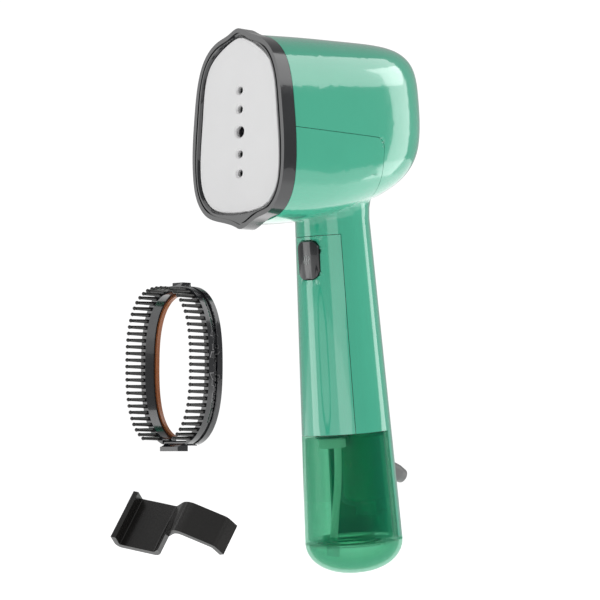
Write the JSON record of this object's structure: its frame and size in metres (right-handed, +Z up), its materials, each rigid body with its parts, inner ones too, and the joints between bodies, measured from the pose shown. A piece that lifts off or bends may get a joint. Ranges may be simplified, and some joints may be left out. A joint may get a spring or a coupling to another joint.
{
  "type": "garment steamer",
  "caption": "Handheld garment steamer with upright soleplate, water tank at the foot of its handle, trigger button, clip-on brush ring and hanging hook.",
  "frame": {"origin": "on the handle axis at the middle of the hand grip", "axes": "+Z up, soleplate faces -X, XZ is the plane of symmetry of the steamer"},
  "size_m": [0.2294, 0.0906, 0.3034],
  "materials": {
    "mint_gloss": "gloss",
    "dark_gloss": "gloss",
    "dark_satin": "satin",
    "inner_white": "matte",
    "inner_heatproof": "matte",
    "plate_coat": "satin ceramic coat",
    "cast_alu": "cast",
    "steel": "satin",
    "brass": "satin",
    "tank_green": "clear gloss",
    "silicone": "satin",
    "seal_rubber": "matte",
    "gland_rubber": "satin",
    "copper": "satin",
    "board_green": "satin",
    "lining_orange": "satin"
  },
  "bodies": {
    "steamer": {"head_cover_shell": "mint_gloss", "handle_body_shell": "mint_gloss", "handle_front_panel": "mint_gloss", "front_bezel": "dark_gloss", "soleplate": "plate_coat", "steam_chamber": "cast_alu", "chamber_cover": "cast_alu", "heating_element": "steel", "thermostat": "steel", "thermal_fuse": "inner_white", "heat_shield": "inner_heatproof", "plate_gasket": "seal_rubber", "switch_carrier": "inner_white", "micro_switch": "inner_heatproof", "button_spring": "steel", "handle_spine": "mint_gloss", "cord_gland": "gland_rubber", "handle_deck": "inner_white", "tank_seal": "seal_rubber", "suction_hose": "silicone", "hose_weight": "steel", "pump_coil": "copper", "pump_body": "inner_white", "pump_spring": "steel", "pump_saddle": "inner_white", "check_valve_body": "inner_white", "valve_spring": "steel", "feed_hose": "silicone", "control_board": "board_green", "board_bracket": "inner_white", "relay": "inner_heatproof", "terminal_block": "inner_white", "cord_clamp": "inner_white", "chamber_screws": "steel", "spine_screws": "brass"},
    "button": {"steam_button": "dark_gloss"},
    "switch": {"switch_plunger": "inner_white"},
    "tank": {"tank_body": "tank_green", "tank_base_cap": "tank_green", "base_seal": "silicone"},
    "pump_plunger": {"pump_plunger": "steel"},
    "valve": {"valve_poppet": "silicone"},
    "brush": {"brush_frame": "dark_gloss", "brush_lining": "lining_orange", "brush_bristles": "dark_satin", "brush_latch_pin": "steel"},
    "brush_release": {"brush_latch": "dark_gloss"},
    "hook": {"hanging_hook": "dark_satin"}
  },
  "joints": [
    {"name": "steam_button_press", "type": "slide", "parent": "steamer", "child": "button", "axis": [0.9954, 0, 0.0958], "range_m": [0, 0.0025], "stiffness_N_per_m": 300, "springref_m": -0.002, "deforming": ["button_spring"]},
    {"name": "switch_plunger_press", "type": "slide", "parent": "steamer", "child": "switch", "axis": [0.9954, 0, 0.0958], "range_m": [0, 0.0025], "stiffness_N_per_m": 40, "springref_m": -0.002},
    {"name": "tank_pull_off", "type": "slide", "parent": "steamer", "child": "tank", "axis": [0.0958, 0, -0.9954], "range_m": [0, 0.075]},
    {"name": "pump_stroke", "type": "slide", "parent": "steamer", "child": "pump_plunger", "axis": [-0.0958, 0, 0.9954], "range_m": [0, 0.0015], "stiffness_N_per_m": 400, "springref_m": -0.002, "deforming": ["pump_spring"]},
    {"name": "check_valve_lift", "type": "slide", "parent": "steamer", "child": "valve", "axis": [-0.0958, 0, 0.9954], "range_m": [0, 0.0015], "stiffness_N_per_m": 60, "springref_m": -0.002, "deforming": ["valve_spring"]},
    {"name": "brush_fitting", "type": "slide", "parent": "steamer", "child": "brush", "axis": [0.2626, 0, 0.9649], "range_m": [0, 0.13711]},
    {"name": "brush_latch_release", "type": "hinge", "parent": "brush", "child": "brush_release", "pos_m": [-0.1205, 0, -0.0592], "axis": [0, -1, 0], "range_deg": [0, 10], "stiffness_Nm_per_rad": 0.05, "springref_deg": -2.86},
    {"name": "hook_take_away", "type": "slide", "parent": "steamer", "child": "hook", "axis": [-1, 0, 0], "range_m": [0, 0.05]}
  ],
  "couplings": [
    {"joint": "switch_plunger_press", "follows": "steam_button_press", "ratio": 1}
  ]
}
